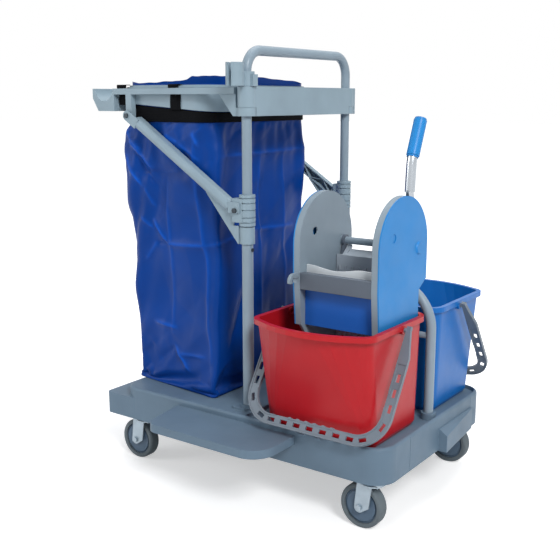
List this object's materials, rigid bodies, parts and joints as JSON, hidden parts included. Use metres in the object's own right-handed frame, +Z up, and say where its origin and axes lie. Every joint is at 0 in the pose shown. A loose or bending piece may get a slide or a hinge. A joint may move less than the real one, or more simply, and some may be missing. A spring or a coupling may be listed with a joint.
{
  "type": "janitor cart",
  "caption": "Wheeled cleaning trolley with a bag holder, push hoop, red and blue mop buckets with slotted bails and a lever press wringer.",
  "frame": {"origin": "middle of the footprint, on the floor", "axes": "+X along the cart from the bag to the buckets, +Y from the mop rest side to the far side, +Z up"},
  "size_m": [0.865, 0.704, 1.0105],
  "materials": {
    "base_plastic": "grained moulded polypropylene, slate grey",
    "grey_plastic": "satin moulded polypropylene, light slate grey",
    "coated_steel": "grey powder coat on steel tube",
    "dark_screw": "dark coated screws and bolts",
    "zinc_steel": "bright zinc plate on pressed steel",
    "hub_plastic": "moulded wheel centre",
    "tyre_rubber": "grey non-marking rubber",
    "bag_vinyl": "blue vinyl-coated cloth, soft sheen",
    "strap_black": "black woven webbing",
    "red_plastic": "glossy red polypropylene",
    "blue_plastic": "glossy mid blue polypropylene",
    "cover_blue": "satin mid blue plastic",
    "rail_grey": "grey moulded plastic",
    "jaw_grey": "mid grey moulded plastic",
    "pale_plastic": "pale grey moulded plastic",
    "bright_steel": "polished steel"
  },
  "bodies": {
    "cart": {"base": "base_plastic", "mop_rest": "base_plastic", "front_lower_post": "coated_steel", "rear_lower_post": "coated_steel", "push_hoop": "coated_steel", "post_screws": "dark_screw", "cross_panel": "grey_plastic", "tool_clip": "grey_plastic", "front_clamp": "grey_plastic", "rear_clamp": "grey_plastic", "front_strut": "grey_plastic", "rear_strut": "grey_plastic", "frame_bolts": "dark_screw", "bag_frame": "grey_plastic", "bag_ring": "grey_plastic", "bag_straps": "strap_black", "bag": "bag_vinyl", "divider_hoop": "coated_steel", "divider_bar": "coated_steel", "caster_mounts": "zinc_steel", "caster_screws": "zinc_steel"},
    "front_left_swivel": {"front_left_fork": "zinc_steel", "front_left_axle": "zinc_steel"},
    "front_left_wheel": {"front_left_hub": "hub_plastic", "front_left_tyre": "tyre_rubber"},
    "front_right_swivel": {"front_right_fork": "zinc_steel", "front_right_axle": "zinc_steel"},
    "front_right_wheel": {"front_right_hub": "hub_plastic", "front_right_tyre": "tyre_rubber"},
    "rear_left_swivel": {"rear_left_fork": "zinc_steel", "rear_left_axle": "zinc_steel"},
    "rear_left_wheel": {"rear_left_hub": "hub_plastic", "rear_left_tyre": "tyre_rubber"},
    "rear_right_swivel": {"rear_right_fork": "zinc_steel", "rear_right_axle": "zinc_steel"},
    "rear_right_wheel": {"rear_right_hub": "hub_plastic", "rear_right_tyre": "tyre_rubber"},
    "red_bucket_body": {"red_bucket": "red_plastic"},
    "red_bail_body": {"red_bail": "grey_plastic"},
    "blue_bucket_body": {"blue_bucket": "blue_plastic"},
    "blue_bail_body": {"blue_bail": "grey_plastic"},
    "wringer": {"wringer_left_plate": "grey_plastic", "wringer_right_plate": "grey_plastic", "wringer_left_cover": "cover_blue", "wringer_right_cover": "cover_blue", "wringer_front_rail": "rail_grey", "wringer_front_jaw": "cover_blue", "wringer_lip": "pale_plastic", "wringer_tie_rods": "bright_steel", "jaw_hinge_pin": "bright_steel"},
    "press_lever": {"wringer_shaft": "rail_grey", "wringer_cranks": "rail_grey", "wringer_lever": "bright_steel", "wringer_grip": "cover_blue"},
    "press_jaw": {"wringer_rear_jaw": "jaw_grey"}
  },
  "joints": [
    {"name": "front_left_swivel_turn", "type": "hinge", "parent": "cart", "child": "front_left_swivel", "pos_m": [-0.2895, -0.183, 0.105], "axis": [0, 0, 1], "continuous": true},
    {"name": "front_left_wheel_roll", "type": "hinge", "parent": "front_left_swivel", "child": "front_left_wheel", "pos_m": [-0.3115, -0.183, 0.05], "axis": [0, 1, 0], "continuous": true},
    {"name": "front_right_swivel_turn", "type": "hinge", "parent": "cart", "child": "front_right_swivel", "pos_m": [0.3645, -0.183, 0.105], "axis": [0, 0, 1], "continuous": true},
    {"name": "front_right_wheel_roll", "type": "hinge", "parent": "front_right_swivel", "child": "front_right_wheel", "pos_m": [0.3425, -0.183, 0.05], "axis": [0, 1, 0], "continuous": true},
    {"name": "rear_left_swivel_turn", "type": "hinge", "parent": "cart", "child": "rear_left_swivel", "pos_m": [-0.2895, 0.247, 0.105], "axis": [0, 0, 1], "continuous": true},
    {"name": "rear_left_wheel_roll", "type": "hinge", "parent": "rear_left_swivel", "child": "rear_left_wheel", "pos_m": [-0.3115, 0.247, 0.05], "axis": [0, 1, 0], "continuous": true},
    {"name": "rear_right_swivel_turn", "type": "hinge", "parent": "cart", "child": "rear_right_swivel", "pos_m": [0.3645, 0.247, 0.105], "axis": [0, 0, 1], "continuous": true},
    {"name": "rear_right_wheel_roll", "type": "hinge", "parent": "rear_right_swivel", "child": "rear_right_wheel", "pos_m": [0.3425, 0.247, 0.05], "axis": [0, 1, 0], "continuous": true},
    {"name": "red_bucket_lift", "type": "slide", "parent": "cart", "child": "red_bucket_body", "axis": [0, 0, 1], "range_m": [0, 0.34]},
    {"name": "red_bail_swing", "type": "hinge", "parent": "red_bucket_body", "child": "red_bail_body", "pos_m": [0.2395, -0.108, 0.4238], "axis": [-1, 0, 0], "range_deg": [0, 115]},
    {"name": "blue_bucket_lift", "type": "slide", "parent": "cart", "child": "blue_bucket_body", "axis": [0, 0, 1], "range_m": [0, 0.34]},
    {"name": "blue_bail_swing", "type": "hinge", "parent": "blue_bucket_body", "child": "blue_bail_body", "pos_m": [0.2395, 0.172, 0.4238], "axis": [1, 0, 0], "range_deg": [0, 140]},
    {"name": "wringer_lift", "type": "slide", "parent": "red_bucket_body", "child": "wringer", "axis": [0, 0, 1], "range_m": [0, 0.28]},
    {"name": "lever_press", "type": "hinge", "parent": "wringer", "child": "press_lever", "pos_m": [0.2665, -0.016, 0.5838], "axis": [-1, 0, 0], "range_deg": [0, 55]},
    {"name": "jaw_press", "type": "hinge", "parent": "wringer", "child": "press_jaw", "pos_m": [0.2665, -0.041, 0.3288], "axis": [1, 0, 0], "range_deg": [0, 16.5]}
  ],
  "couplings": [
    {"joint": "jaw_press", "follows": "lever_press", "ratio": 0.3}
  ]
}
